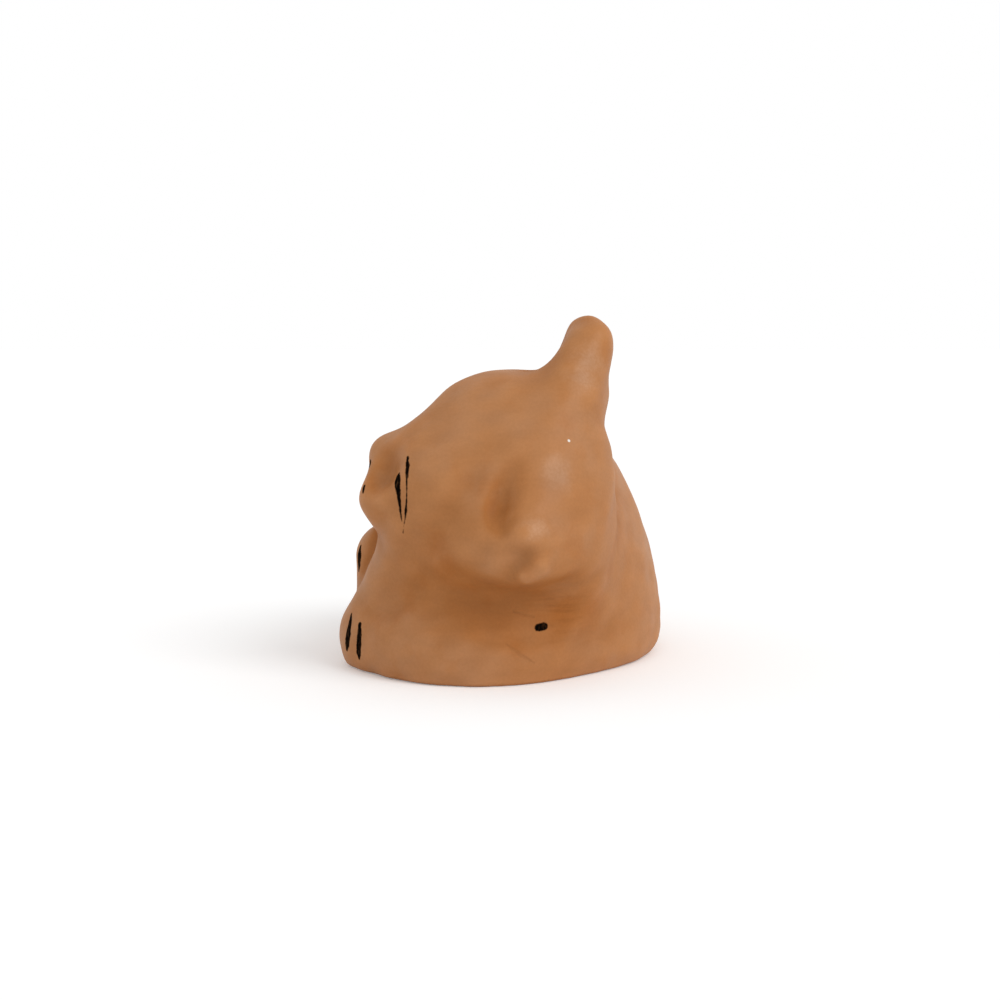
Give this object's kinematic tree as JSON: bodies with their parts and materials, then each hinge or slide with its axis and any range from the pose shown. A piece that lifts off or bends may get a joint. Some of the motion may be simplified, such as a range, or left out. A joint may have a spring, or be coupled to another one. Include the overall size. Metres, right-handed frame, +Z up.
{
  "type": "cat planter",
  "caption": "Hollow fired-clay planter in the form of a resting cat with its head rolled to one side, open at the back for soil and drained through the floor.",
  "frame": {"origin": "middle of the object's box on the surface that it stands on", "axes": "+Z up, the cat faces -Y, and its head lies on the +X side, which is the side that the picture shows"},
  "size_m": [0.149, 0.1094, 0.1156],
  "materials": {
    "clay": "burnished unglazed terracotta with black brush marks"
  },
  "bodies": {
    "root": {"body": "clay", "floor": "clay", "head": "clay", "muzzle": "clay", "far_ear": "clay", "near_ear": "clay", "shoulder": "clay", "near_foreleg": "clay", "far_foreleg": "clay", "tail": "clay"}
  },
  "joints": []
}
